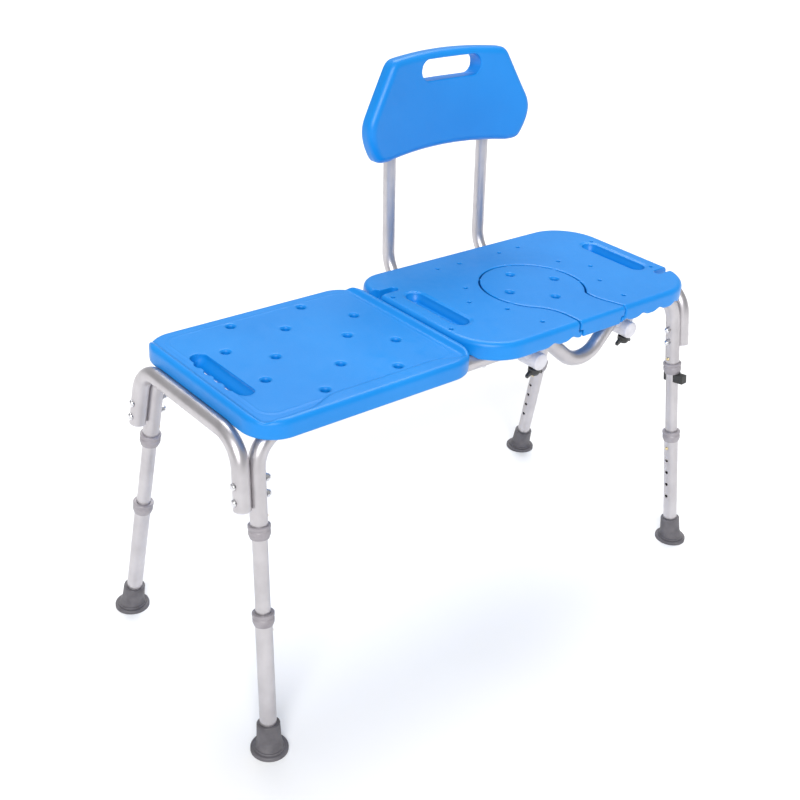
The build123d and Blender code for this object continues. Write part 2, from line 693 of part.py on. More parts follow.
def make_insert():
    """Lift-out plug of the commode opening: a flange on the ledge and a body inside it."""
    front_y = SEAT_MID_Y - SEAT_DEPTH / 2
    with BuildPart() as insert:
        with BuildSketch(Plane.XY.offset(LEDGE_Z + 0.4)):
            keyhole(SEAM)
            with Locations((INSERT_X, front_y)):
                Rectangle(400, 200, align=(Align.CENTER, Align.MAX), mode=Mode.SUBTRACT)
        extrude(amount=PANEL_TOP - LEDGE_Z - 0.4)
        with BuildSketch(Plane.XY.offset(PANEL_BOTTOM + 1.0)):
            keyhole(LEDGE + SEAM)
            with Locations((INSERT_X, front_y)):
                Rectangle(400, 200, align=(Align.CENTER, Align.MAX), mode=Mode.SUBTRACT)
        extrude(amount=LEDGE_Z - PANEL_BOTTOM)
        front = insert.edges().filter_by(GeomType.LINE).group_by(Axis.Z)[-1].sort_by(Axis.Y)[0]
        fillet(front, EDGE_R - 2)
        with Locations((INSERT_X, INSERT_Y, PANEL_TOP)):
            with PolarLocations(INSERT_HOLE_CIRCLE, 4):
                CounterSinkHole(DRAIN_R, DRAIN_RIM_R, depth=40)
        with BuildSketch(Plane.XY.offset(LEDGE_Z + 4)):
            with Locations((INSERT_X, INSERT_Y)):
                Circle(INSERT_R - LEDGE - 8)
                with PolarLocations(INSERT_HOLE_CIRCLE, 4):
                    Circle(DRAIN_RIM_R + WALL, mode=Mode.SUBTRACT)
        extrude(amount=CAVITY_Z[1] + 3 - LEDGE_Z - 4, mode=Mode.SUBTRACT)
    return insert.part


# ---------------------------------------------------------------- backrest
def side_plane(x):
    """Upright plane across the bench: X towards the rear, Y up."""
    return Plane(origin=(x, 0, 0), x_dir=(0, 1, 0), z_dir=(1, 0, 0))


def back_y(z):
    return BACK_TUBE_Y600 + BACK_LEAN * (z - 600.0)


def make_back_tube(x):
    points = [
        (BACK_RUN_FRONT + PLUG_RIM, CROSS_Z),
        (back_y(CROSS_Z), CROSS_Z),
        (back_y(BACK_TUBE_TOP), BACK_TUBE_TOP),
    ]
    tube = bent_tube(side_plane(x), points, [BACK_BEND_R], BACK_TUBE_R, BACK_TUBE_R - BACK_TUBE_WALL)
    with BuildPart() as holed:
        add(tube)
        with Locations(*[back_screw_plane(x, z) for z in BACK_SCREW_Z]):
            Cylinder(SCREW_R, 60, mode=Mode.SUBTRACT)
    return holed.part


def back_screw_plane(x, z):
    """Plane on the tube's centre line whose Z points to the rear, square to the lean."""
    return Plane(origin=(x, back_y(z), z), x_dir=(1, 0, 0), z_dir=(0, 1, -BACK_LEAN))


def make_back_screw(x, z):
    seat = back_screw_plane(x, z)
    with BuildPart() as screw:
        with BuildSketch(seat.offset(BACK_TUBE_R)):
            Circle(SCREW_HEAD_R)
        extrude(amount=SCREW_HEAD_H)
        fillet(screw.faces().sort_by(Axis.Y)[-1].edges(), 1.4)
        with BuildSketch(seat.offset(BACK_TUBE_R)):
            Circle(SCREW_R - 0.02)
        extrude(amount=-(2 * BACK_TUBE_R + SCREW_BITE))
    return screw.part


def make_tube_plug(seat):
    """Plug in the end of a backrest tube; the seat plane lies on the tube's end and faces out of it."""
    with BuildPart() as plug:
        with BuildSketch(seat):
            Circle(BACK_TUBE_R)
        extrude(amount=PLUG_RIM)
        fillet(plug.faces().sort_by(Axis(seat.origin, seat.z_dir))[-1].edges(), 1.2)
        with BuildSketch(seat):
            Circle(BACK_TUBE_R - BACK_TUBE_WALL - 0.05)
        extrude(amount=-PLUG_LEN)
    return plug.part


def front_plug_seat(x):
    return Plane(origin=(x, BACK_RUN_FRONT + PLUG_RIM, CROSS_Z), x_dir=(1, 0, 0), z_dir=(0, -1, 0))


def top_plug_seat(x):
    return Plane(origin=(x, back_y(BACK_TUBE_TOP), BACK_TUBE_TOP), z_dir=(0, BACK_LEAN, 1))


BACK_CHANNEL_Z = 660.0       # the tubes' channels start below the panel
BACK_LEVEL = 600.0           # the backrest's own frame starts at this height
BACK_SLOPE = sqrt(1 + BACK_LEAN**2)
BACK_ORIGIN = Vector(BACK_X, back_y(BACK_LEVEL), BACK_LEVEL)
BACK_FACING = Plane(origin=BACK_ORIGIN, x_dir=(1, 0, 0), z_dir=(0, -1, BACK_LEAN))
BACK_UPRIGHT = Plane(origin=BACK_ORIGIN, x_dir=(1, 0, 0), z_dir=(0, BACK_LEAN, 1))


def up(z):
    """Distance up the backrest's lean of a point at height z."""
    return (z - BACK_LEVEL) * BACK_SLOPE


def back_outline():
    """Outline of the backrest in its own leaning plane, wide at the lobes and narrow at the top."""
    corner = (118.0, up(864.5))
    shoulder = (139.0, up(849.0))
    flank = (181.0, up(777.0))
    lobe = (188.0, up(748.0))
    heel = (172.0, up(707.0))
    toe = (138.0, up(697.0))
    with BuildLine() as outline:
        ThreePointArc((-corner[0], corner[1]), (0, up(871.0)), corner)
        for s in (1, -1):
            Spline(
                (s * corner[0], corner[1]),
                (s * shoulder[0], shoulder[1]),
                tangents=[(s * 1.0, -0.1), (s * 0.50, -0.86)],
            )
            Line((s * shoulder[0], shoulder[1]), (s * flank[0], flank[1]))
            Spline(
                (s * flank[0], flank[1]),
                (s * lobe[0], lobe[1]),
                (s * heel[0], heel[1]),
                (s * toe[0], toe[1]),
                tangents=[(s * 0.50, -0.86), (s * -1.0, 0.03)],
            )
        ThreePointArc((-toe[0], toe[1]), (0, up(706.0)), toe)
    make_face(outline.edges())


def back_front_face(x):
    """Distance of the panel's front face ahead of the tubes' centre line, x from the panel's middle."""
    half_span = 0.5 * (BACK_TUBE_X[1] - BACK_TUBE_X[0])
    return BACK_FRONT_AHEAD + (x**2 - half_span**2) / (2 * BACK_CURVE_R)


def make_back_panel():
    """Backrest moulding, hollow towards the sitter, with a hand slot and channels for its tubes."""

    def ahead(edge):
        middle = edge @ 0.5 - BACK_ORIGIN
        return middle.dot(BACK_FACING.z_dir) - back_front_face(middle.X) + BACK_THICK / 2

    with BuildPart() as panel:
        with BuildSketch(BACK_UPRIGHT.offset(up(BACK_CHANNEL_Z))):
            with Locations((0, -back_front_face(0) - BACK_CURVE_R)):
                Circle(BACK_CURVE_R + BACK_THICK)
                Circle(BACK_CURVE_R, mode=Mode.SUBTRACT)
            Rectangle(440, 160, mode=Mode.INTERSECT)
        extrude(amount=260)
        with BuildSketch(BACK_FACING.offset(-60)):
            back_outline()
        extrude(amount=140, mode=Mode.INTERSECT)
        rim = panel.edges().filter_by(lambda e: abs((e % 0.5).dot(BACK_FACING.z_dir)) < 0.8)
        fillet(rim.filter_by(lambda e: ahead(e) < 0), BACK_RIM[1])
        rim = panel.edges().filter_by(lambda e: abs((e % 0.5).dot(BACK_FACING.z_dir)) < 0.8)
        fillet(rim.filter_by(lambda e: ahead(e) > BACK_THICK / 2 - 1), BACK_RIM[0])
        with BuildSketch(BACK_FACING.offset(-60)):
            with Locations((2, up(BACK_SLOT_Z))):
                SlotOverall(*BACK_SLOT)
        extrude(amount=140, mode=Mode.SUBTRACT)
        for x in BACK_TUBE_X:
            mouth = Plane(origin=(x, back_y(BACK_CHANNEL_Z), BACK_CHANNEL_Z), z_dir=(0, BACK_LEAN, 1))
            with BuildSketch(mouth):
                Circle(BACK_TUBE_R + 0.05)
            extrude(amount=(BACK_TUBE_TOP - BACK_CHANNEL_Z + 3) * BACK_SLOPE, mode=Mode.SUBTRACT)
            with Locations(*[back_screw_plane(x, z) for z in BACK_SCREW_Z]):
                Cylinder(SCREW_R, 2 * (BACK_TUBE_R + SCREW_BITE), mode=Mode.SUBTRACT)
    return panel.part


# ---------------------------------------------------------------- cross tubes, sockets and knobs
def rail_y(end):
    return LEG_MID_Y + ENDS[end] * RAIL_Y


def along_cross(x, y):
    """Upright plane across a cross tube at y, facing the rear."""
    return Plane(origin=(x, y, CROSS_Z), x_dir=(1, 0, 0), z_dir=(0, 1, 0))


def make_cross_tube(x):
    """Tube under both long rails, closed by the front socket and open to the rear for a backrest tube."""
    with BuildPart() as tube:
        with BuildSketch(along_cross(x, CROSS_FRONT)):
            Circle(TUBE_R)
            Circle(CROSS_BORE, mode=Mode.SUBTRACT)
        extrude(amount=CROSS_REAR - CROSS_FRONT)
        with Locations((x, KNOB_Y, CROSS_Z - TUBE_R)):
            Cylinder(STUD_R + 0.3, TUBE_R, mode=Mode.SUBTRACT)
    return tube.part


def make_socket(x, end, rods):
    """Round moulding that hangs a cross tube from a long rail; the front one is closed for the knob."""
    y = rail_y(end)
    y_start = CROSS_FRONT - SOCKET_CLOSED if end == "front" else y - SOCKET_LEN / 2
    with BuildPart() as socket:
        with BuildSketch(along_cross(x, y_start)):
            Circle(SOCKET_R)
        extrude(amount=y + SOCKET_LEN / 2 - y_start)
        fillet(socket.faces().sort_by(Axis.Y)[0].edges(), 2.5)
        with BuildSketch(Plane.XY.offset(EAR_Z[0])):
            with Locations((x, y)):
                RectangleRounded(EAR_W, SOCKET_LEN, 5)
        extrude(amount=EAR_Z[1] - EAR_Z[0])
        with BuildSketch(along_cross(x, CROSS_FRONT)):
            Circle(TUBE_R + 0.06)
        extrude(amount=CROSS_REAR - CROSS_FRONT, mode=Mode.SUBTRACT)
        if end == "front":
            with Locations((x, KNOB_Y, CROSS_Z - SOCKET_R)):
                Cylinder(STUD_R + 0.05, SOCKET_R, mode=Mode.SUBTRACT)
        for rod in rods:
            add(rod, mode=Mode.SUBTRACT)
        with Locations(*[(sx, sy, EAR_Z[0]) for sx, sy in socket_screw_places(x, end)]):
            Cylinder(SCREW_R, 60, mode=Mode.SUBTRACT)
    return socket.part


def socket_screw_places(x, end):
    """Screws beside a cross tube; next to the front rail's dip there is room for the outer one only."""
    beside_dip = end == "front" and x == BACK_TUBE_X[1]
    return [(x + s * SOCKET_SCREW_X, rail_y(end)) for s in ((1,) if beside_dip else (-1, 1))]


def make_pan_screw(x, y, z_head, z_tip, head_r=SCREW_HEAD_R):
    """Pan-head screw that points up; its head lies below z_head."""
    with BuildPart() as screw:
        with BuildSketch(Plane.XY.offset(z_head - SCREW_HEAD_H)):
            with Locations((x, y)):
                Circle(head_r)
        extrude(amount=SCREW_HEAD_H)
        fillet(screw.edges().group_by(Axis.Z)[0], 1.4)
        with BuildSketch(Plane.XY.offset(z_head)):
            with Locations((x, y)):
                Circle(SCREW_R - 0.02)
        extrude(amount=z_tip - z_head)
    return screw.part


def make_knob(x):
    """Black wing knob below the front socket."""
    z0, z1 = KNOB_Z
    hub_top = z1 - 6.0
    foot_z = z0 + 3.0
    tip_z = z0 + 4.0
    with BuildPart() as knob:
        with BuildSketch(Plane.XY.offset(hub_top)):
            with Locations((x, KNOB_Y)):
                Circle(KNOB_R[1])
        extrude(amount=z1 - hub_top)
        with BuildSketch(Plane.XY.offset(hub_top)):
            with Locations((x, KNOB_Y)):
                Circle(KNOB_R[1])
        with BuildSketch(Plane.XY.offset(foot_z)):
            with Locations((x, KNOB_Y)):
                Circle(KNOB_R[0])
        loft()
        with BuildSketch(Plane(origin=(x, KNOB_Y, 0), x_dir=(1, 0, 0), z_dir=(0, -1, 0))):
            with BuildLine():
                half = [(8, tip_z), (WING_HALF - 1, z0), (WING_HALF, tip_z), (KNOB_R[1] - 0.5, z1 - 2)]
                Polyline(*half, *[(-px, pz) for px, pz in reversed(half)], close=True)
            make_face()
        extrude(amount=WING_THICK / 2, both=True)
        with BuildSketch(Plane.XY.offset(z0 + 6)):
            with Locations((x, KNOB_Y)):
                Circle(STUD_R)
        extrude(amount=z1 - z0, mode=Mode.SUBTRACT)
    return knob.part


def make_stud(x):
    """Steel stud moulded into the knob; its tip presses on the backrest tube."""
    stud_bottom = KNOB_Z[0] + 6.1
    stud_top = CROSS_Z - BACK_TUBE_R - 0.3
    with BuildPart() as stud:
        with BuildSketch(Plane.XY.offset(stud_bottom)):
            with Locations((x, KNOB_Y)):
                Circle(STUD_R - 0.01)
        extrude(amount=stud_top - stud_bottom)
        fillet(stud.edges().group_by(Axis.Z)[-1], 1.0)
    return stud.part


# ---------------------------------------------------------------- all pieces
def main():
    os.makedirs("parts", exist_ok=True)
    rods = rail_clearance()
    for end in ENDS:
        save(make_rail(end), f"{end}_rail")
    for side in SIDES:
        save(make_end_frame(side), f"end_frame_{side}")
    legs = list(LEGS.values())
    save(Compound([make_end_plug(side, end) for end in ENDS for side in SIDES]), "end_frame_plugs")
    save(Compound([make_frame_bolt(leg, h) for leg in legs for h in BOLT_HEIGHTS]), "frame_bolts")
    save(Compound([make_acorn_nut(leg, h) for leg in legs for h in BOLT_HEIGHTS]), "acorn_nuts")
    save(Compound([make_collar(leg, UPPER_COLLAR, TUBE_R, INNER_R, FRAME_LEG_BOTTOM) for leg in legs]),
         "upper_collars")
    save(Compound([make_button_spring(leg, h) for leg in legs for h in (HEIGHT_BUTTON, FRAME_BUTTON)]),
         "button_springs")
    save(make_leg_clip(LEGS["front_right"]), "leg_clip")
    for name, leg in LEGS.items():
        save(make_inner_tube(leg), f"inner_tube_{name}")
        save(make_lower_tube(leg), f"lower_tube_{name}")
        save(make_collar(leg, LOWER_COLLAR, INNER_R + 0.35, TUBE_R, LOWER_TOP), f"lower_collar_{name}")
        save(make_foot(leg), f"foot_{name}")
        save(make_foot_washer(leg), f"foot_washer_{name}")
        save(make_button(leg, HEIGHT_BUTTON, TUBE_R), f"height_button_{name}")
        save(make_button(leg, FRAME_BUTTON, TUBE_R), f"frame_button_{name}")
    save(make_left_panel(rods), "seat_panel_left")
    save(make_right_panel(rods), "seat_panel_right")
    save(make_insert(), "commode_insert")
    rail_bottom = RAIL_Z - TUBE_R
    save(Compound([make_pan_screw(x, y, rail_bottom, SCREW_TIP - 0.5) for x, y in panel_screw_places()]),
         "panel_screws")
    save(make_back_panel(), "backrest_panel")
    socket_screws = []
    for side, x in zip(SIDES, BACK_TUBE_X):
        save(make_back_tube(x), f"backrest_tube_{side}")
        save(make_cross_tube(x), f"cross_tube_{side}")
        for end in ENDS:
            save(make_socket(x, end, rods), f"socket_{end}_{side}")
            socket_screws += [
                make_pan_screw(sx, sy, EAR_Z[0], rail_bottom + 5, SOCKET_SCREW_HEAD_R)
                for sx, sy in socket_screw_places(x, end)
            ]
        save(make_knob(x), f"clamp_knob_{side}")
        save(make_stud(x), f"knob_stud_{side}")
    save(Compound(socket_screws), "socket_screws")
    save(Compound([make_tube_plug(front_plug_seat(x)) for x in BACK_TUBE_X]), "backrest_front_plugs")
    save(Compound([make_tube_plug(top_plug_seat(x)) for x in BACK_TUBE_X]), "backrest_top_plugs")
    save(Compound([make_back_screw(x, z) for x in BACK_TUBE_X for z in BACK_SCREW_Z]), "backrest_screws")


main()
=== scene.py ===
import json
import math

import bmesh
import bpy
import numpy as np
from mathutils import Matrix, Vector
from mathutils.kdtree import KDTree


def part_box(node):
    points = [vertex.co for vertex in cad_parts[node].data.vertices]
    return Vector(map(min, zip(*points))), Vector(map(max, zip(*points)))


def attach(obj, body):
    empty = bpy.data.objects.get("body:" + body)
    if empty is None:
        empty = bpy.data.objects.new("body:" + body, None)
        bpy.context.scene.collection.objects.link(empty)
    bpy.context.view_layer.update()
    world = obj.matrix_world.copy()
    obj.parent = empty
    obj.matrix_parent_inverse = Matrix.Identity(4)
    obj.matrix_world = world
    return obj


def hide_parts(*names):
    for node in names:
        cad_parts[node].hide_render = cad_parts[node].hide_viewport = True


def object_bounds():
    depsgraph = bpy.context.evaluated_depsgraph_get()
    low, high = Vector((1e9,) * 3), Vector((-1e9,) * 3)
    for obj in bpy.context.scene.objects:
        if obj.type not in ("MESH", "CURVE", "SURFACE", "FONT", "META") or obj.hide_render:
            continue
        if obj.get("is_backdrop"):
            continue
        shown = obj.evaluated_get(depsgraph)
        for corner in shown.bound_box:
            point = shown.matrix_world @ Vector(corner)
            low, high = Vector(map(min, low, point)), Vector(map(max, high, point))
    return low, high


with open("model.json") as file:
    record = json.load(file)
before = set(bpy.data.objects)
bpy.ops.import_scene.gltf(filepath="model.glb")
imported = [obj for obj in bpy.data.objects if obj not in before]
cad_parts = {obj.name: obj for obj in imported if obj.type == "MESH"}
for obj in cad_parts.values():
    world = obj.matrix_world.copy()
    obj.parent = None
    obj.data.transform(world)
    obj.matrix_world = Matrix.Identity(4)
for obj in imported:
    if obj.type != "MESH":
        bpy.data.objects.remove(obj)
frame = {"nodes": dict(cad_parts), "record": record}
bpy.context.view_layer.update()

NODES = frame["nodes"]
SLOT_OF = {part["node"]: part["material_slot"] for part in frame["record"]["subparts"]}
BODY_OF = {
    node: body
    for body, members in frame["record"]["behaviour"]["bodies"].items()
    for node in members
}


# ---------------------------------------------------------------- materials
class Finish:
    """A Principled material whose colour, roughness and relief all come from 3-D noise on the object."""

    def __init__(self, name, metallic=0.0, specular=0.5):
        self.material = bpy.data.materials.new(name)
        self.material.use_nodes = True
        self.tree = self.material.node_tree
        self.tree.nodes.clear()
        self.shader = self.tree.nodes.new("ShaderNodeBsdfPrincipled")
        output = self.tree.nodes.new("ShaderNodeOutputMaterial")
        self.link(self.shader.outputs["BSDF"], output.inputs["Surface"])
        self.shader.inputs["Metallic"].default_value = metallic
        self.shader.inputs["Specular IOR Level"].default_value = specular
        self.place = self.tree.nodes.new("ShaderNodeTexCoord").outputs["Object"]

    def link(self, a, b):
        self.tree.links.new(a, b)

    def noise(self, scale, detail=2.0, stretch=(1, 1, 1), roughness=0.5):
        mapping = self.tree.nodes.new("ShaderNodeMapping")
        mapping.inputs["Scale"].default_value = stretch
        self.link(self.place, mapping.inputs["Vector"])
        texture = self.tree.nodes.new("ShaderNodeTexNoise")
        texture.inputs["Scale"].default_value = scale
        texture.inputs["Detail"].default_value = detail
        texture.inputs["Roughness"].default_value = roughness
        self.link(mapping.outputs["Vector"], texture.inputs["Vector"])
        return texture.outputs["Fac"]

    def colour(self, source, *stops):
        ramp = self.tree.nodes.new("ShaderNodeValToRGB")
        elements = ramp.color_ramp.elements
        while len(elements) < len(stops):
            elements.new(0.5)
        for element, (position, rgb) in zip(elements, stops):
            element.position = position
            element.color = (*rgb, 1)
        self.link(source, ramp.inputs["Fac"])
        self.link(ramp.outputs["Color"], self.shader.inputs["Base Color"])
        return self

    def rough(self, source, low, high):
        spread = self.tree.nodes.new("ShaderNodeMapRange")
        spread.inputs["From Min"].default_value = 0.3
        spread.inputs["From Max"].default_value = 0.7
        spread.inputs["To Min"].default_value = low
        spread.inputs["To Max"].default_value = high
        self.link(source, spread.inputs["Value"])
        self.link(spread.outputs["Result"], self.shader.inputs["Roughness"])
        return self

    def relief(self, source, depth, strength=1.0):
        bump = self.tree.nodes.new("ShaderNodeBump")
        bump.inputs["Strength"].default_value = strength
        bump.inputs["Distance"].default_value = depth
        self.link(source, bump.inputs["Height"])
        previous = self.shader.inputs["Normal"].links
        if previous:
            self.link(previous[0].from_socket, bump.inputs["Normal"])
        self.link(bump.outputs["Normal"], self.shader.inputs["Normal"])
        return self


def make_finishes():
    blue = Finish("blow-moulded blue polyethylene", specular=0.32)
    blue.colour(blue.noise(7, 3), (0.3, (0.002, 0.200, 0.610)), (0.7, (0.005, 0.226, 0.660)))
    blue.rough(blue.noise(60, 3), 0.30, 0.39)
    blue.relief(blue.noise(9, 1), 0.0010).relief(blue.noise(1400, 2), 0.00006)

    tube = Finish("satin anodised aluminium", metallic=0.85)
    tube.colour(tube.noise(25, 3), (0.3, (0.47, 0.45, 0.465)), (0.7, (0.55, 0.53, 0.545)))
    tube.rough(tube.noise(90, 4), 0.30, 0.44)
    tube.relief(tube.noise(1800, 2), 0.00003)

    bolt = Finish("bright zinc plate", metallic=1.0)
    bolt.colour(bolt.noise(180, 3), (0.3, (0.62, 0.62, 0.64)), (0.7, (0.80, 0.79, 0.80)))
    bolt.rough(bolt.noise(300, 3), 0.14, 0.30)
    bolt.relief(bolt.noise(2500, 2), 0.00003)

    spring = Finish("spring strip", metallic=1.0)
    spring.colour(spring.noise(120, 3), (0.3, (0.42, 0.42, 0.44)), (0.7, (0.55, 0.55, 0.57)))
    spring.rough(spring.noise(400, 3), 0.28, 0.42)
    spring.relief(spring.noise(2000, 2), 0.00003)

    collar = Finish("grey moulded collar")
    collar.colour(collar.noise(70, 3), (0.3, (0.245, 0.225, 0.245)), (0.7, (0.315, 0.295, 0.315)))
    collar.rough(collar.noise(200, 3), 0.34, 0.48)
    collar.relief(collar.noise(1500, 2), 0.00006)

    rubber = Finish("grey foot rubber")
    rubber.colour(rubber.noise(55, 4), (0.3, (0.078, 0.073, 0.082)), (0.7, (0.125, 0.118, 0.130)))
    rubber.rough(rubber.noise(150, 4), 0.45, 0.65)
    rubber.relief(rubber.noise(900, 3), 0.00014)

    brass = Finish("polished button brass", metallic=1.0)
    brass.colour(brass.noise(200, 3), (0.3, (0.62, 0.50, 0.27)), (0.7, (0.76, 0.64, 0.38)))
    brass.rough(brass.noise(400, 3), 0.16, 0.30)
    brass.relief(brass.noise(2500, 2), 0.00002)

    pale = Finish("pale moulded plastic")
    pale.colour(pale.noise(60, 3), (0.3, (0.52, 0.51, 0.55)), (0.7, (0.63, 0.62, 0.66)))
    pale.rough(pale.noise(180, 3), 0.30, 0.42)
    pale.relief(pale.noise(1500, 2), 0.00005)

    black = Finish("black moulded plastic")
    black.colour(black.noise(80, 3), (0.3, (0.014, 0.0145, 0.014)), (0.7, (0.027, 0.027, 0.027)))
    black.rough(black.noise(220, 3), 0.32, 0.46)
    black.relief(black.noise(1600, 2), 0.00006)

    return {
        "panel_blue": blue.material,
        "frame_aluminium": tube.material,
        "bolt_steel": bolt.material,
        "spring_steel": spring.material,
        "collar_grey": collar.material,
        "foot_rubber": rubber.material,
        "button_brass": brass.material,
        "pale_plastic": pale.material,
        "black_plastic": black.material,
    }


FINISHES = make_finishes()


def coat(obj, slot_name):
    obj.data.materials.clear()
    obj.data.materials.append(FINISHES[slot_name])


for node, obj in NODES.items():
    coat(obj, SLOT_OF[node])


# ---------------------------------------------------------------- soft copies of moulded pieces
def outer_shell(node):
    """The outermost surface of a CAD node, welded, without the closed cavity inside it."""
    shell = bmesh.new()
    shell.from_mesh(NODES[node].data)
    bmesh.ops.remove_doubles(shell, verts=shell.verts, dist=1e-6)
    shell.verts.ensure_lookup_table()
    island_of, islands = {}, []
    for start in shell.verts:
        if start in island_of:
            continue
        members, todo = [start], [start]
        island_of[start] = len(islands)
        while todo:
            for edge in todo.pop().link_edges:
                for other in edge.verts:
                    if other not in island_of:
                        island_of[other] = len(islands)
                        members.append(other)
                        todo.append(other)
        islands.append(members)
    width = [max(v.co.x for v in group) - min(v.co.x for v in group) for group in islands]
    inner = [v for group, w in zip(islands, width) if w < max(width) - 1e-6 for v in group]
    bmesh.ops.delete(shell, geom=inner, context="VERTS")
    mesh = bpy.data.meshes.new(node)
    shell.to_mesh(mesh)
    shell.free()
    return mesh


def evaluated(obj):
    """Bakes an object's modifiers into its mesh."""
    bpy.context.view_layer.update()
    graph = bpy.context.evaluated_depsgraph_get()
    baked = bpy.data.meshes.new_from_object(obj.evaluated_get(graph))
    obj.modifiers.clear()
    obj.data = baked
    return obj


def soft_copy(node, voxel, passes):
    """An evenly meshed, slightly softened copy of a CAD node's outer surface."""
    obj = bpy.data.objects.new("look_" + node, outer_shell(node))
    bpy.context.scene.collection.objects.link(obj)
    remesh = obj.modifiers.new("remesh", "REMESH")
    remesh.mode = "VOXEL"
    remesh.voxel_size = voxel
    soften = obj.modifiers.new("soften", "SMOOTH")
    soften.factor = 0.5
    soften.iterations = passes
    return evaluated(obj)


def thin_out(obj, most_triangles):
    """Merges the flattest triangles until the mesh is below the given count."""
    count = sum(len(face.vertices) - 2 for face in obj.data.polygons)
    if count > most_triangles:
        merge = obj.modifiers.new("merge", "DECIMATE")
        merge.ratio = most_triangles / count
        evaluated(obj)
    return obj


def shown(obj, node):
    """Puts the copy in the CAD node's place."""
    obj.data.polygons.foreach_set("use_smooth", [True] * len(obj.data.polygons))
    coat(obj, SLOT_OF[node])
    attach(obj, BODY_OF[node])
    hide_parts(node)


def points(obj):
    flat = np.empty(3 * len(obj.data.vertices), np.float64)
    obj.data.vertices.foreach_get("co", flat)
    return flat.reshape(-1, 3)


def normals(obj):
    flat = np.empty(3 * len(obj.data.vertices), np.float32)
    obj.data.vertices.foreach_get("normal", flat)
    return flat.reshape(-1, 3).astype(np.float64)


def set_points(obj, xyz):
    obj.data.vertices.foreach_set("co", xyz.astype(np.float32).ravel())
    obj.data.update()


def inside_distance(x, y, low, high, corner):
    """How far each point lies inside a rounded rectangle; negative outside."""
    half_x, half_y = (high[0] - low[0]) / 2, (high[1] - low[1]) / 2
    qx = np.abs(x - (low[0] + high[0]) / 2) - half_x + corner
    qy = np.abs(y - (low[1] + high[1]) / 2) - half_y + corner
    outside = np.hypot(np.maximum(qx, 0), np.maximum(qy, 0))
    return corner - outside - np.minimum(np.maximum(qx, qy), 0)


def step(value, start, end):
    t = np.clip((value - start) / (end - start), 0, 1)
    return t * t * (3 - 2 * t)


def settle(obj, passes):
    """Smooths a mesh a little after its points were moved."""
    smooth = obj.modifiers.new("settle", "SMOOTH")
    smooth.factor = 0.5
    smooth.iterations = passes
    return evaluated(obj)


def shape_dish(obj, node):
    """Gives the dish a deeper floor and a lip that is wide along the front, with an S at both corners."""
    side_lip, side_lip_at_seam, back_reach, side_corner = 0.013, 0.015, 0.1, 0.03
    corner_lip, extra_lip = 0.015, 0.017
    depth, blend = 0.0066, 0.006
    cad_depth, cad_slope, cad_corner = 0.004, 0.00477, 0.030
    low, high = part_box(node)
    xyz = points(obj)
    x, y, z = xyz.T
    along = (x - low.x) / (high.x - low.x)
    front_lip = corner_lip + extra_lip * step(along, 0.22, 0.36) * (1 - step(along, 0.80, 0.95))
    near, far = (low.x + side_lip, low.y - back_reach), (high.x - side_lip_at_seam, high.y + back_reach)
    side = inside_distance(x, y, near, far, side_corner)
    front = y - low.y - front_lip
    into = -np.log(np.exp(-side / blend) + np.exp(-front / blend)) * blend
    wanted = high.z - depth * step(into, -0.005, 0.0055)
    near, far = (low.x + 0.026, low.y + 0.029), (high.x - 0.022, high.y - 0.019)
    had = high.z - cad_depth * np.clip(inside_distance(x, y, near, far, cad_corner) / cad_slope, 0, 1)
    z += (wanted - had) * step(z, low.z + 0.012, low.z + 0.026)
    set_points(obj, xyz)


def narrow_grip_slot(obj, node):
    """Brings the far wall of the grip slot inwards towards its lower edge."""
    slot_inset, slot_ahead, half_length, half_width, inwards = 0.0465, 0.004, 0.073, 0.0155, 0.010
    low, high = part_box(node)
    slot_x, slot_y = low.x + slot_inset, (low.y + high.y) / 2 + slot_ahead
    xyz = points(obj)
    x, y, z = xyz.T
    beyond = np.maximum(np.abs(y - slot_y) - half_length, 0) + np.abs(x - slot_x - half_width)
    lower = 1 - step(z, low.z + 0.002, low.z + 0.020)
    x -= inwards * lower * (x > slot_x) * (1 - step(beyond, 0.005, 0.016))
    set_points(obj, xyz)


def make_seat_left():
    node = "seat_panel_left"
    panel = soft_copy(node, voxel=0.0013, passes=3)
    shape_dish(panel, node)
    narrow_grip_slot(panel, node)
    shown(thin_out(settle(panel, 2), 190_000), node)


def seam_distance(xyz, others):
    """Distance of every point to the other piece, from a tree of the other's points."""
    tree = KDTree(len(others))
    for index, point in enumerate(others):
        tree.insert(point, index)
    tree.balance()
    low, high = others.min(0) - 0.01, others.max(0) + 0.01
    boxed = np.all((xyz > low) & (xyz < high), axis=1)
    found = np.ones(len(xyz))
    found[boxed] = [tree.find(point)[2] for point in xyz[boxed]]
    return found


SEAM_WEBS = (0.35, 1.25, 2.3, -2.75, -0.35)  # places of the webs, as angles about the insert's middle


def open_seam(obj, distance, middle):
    """Rounds a piece back from the seam, except at five small webs."""
    give = 0.0011
    xyz = points(obj)
    turn = np.arctan2(xyz[:, 1] - middle.y, xyz[:, 0] - middle.x)
    webs = np.zeros(len(xyz))
    for angle in SEAM_WEBS:
        gap = np.angle(np.exp(1j * (turn - angle)))
        webs = np.maximum(webs, 1 - step(np.abs(gap), 0.018, 0.045))
    near = 1 - step(distance, 0.0016, 0.0050)
    xyz -= normals(obj) * (give * near * (1 - webs))[:, None]
    set_points(obj, xyz)


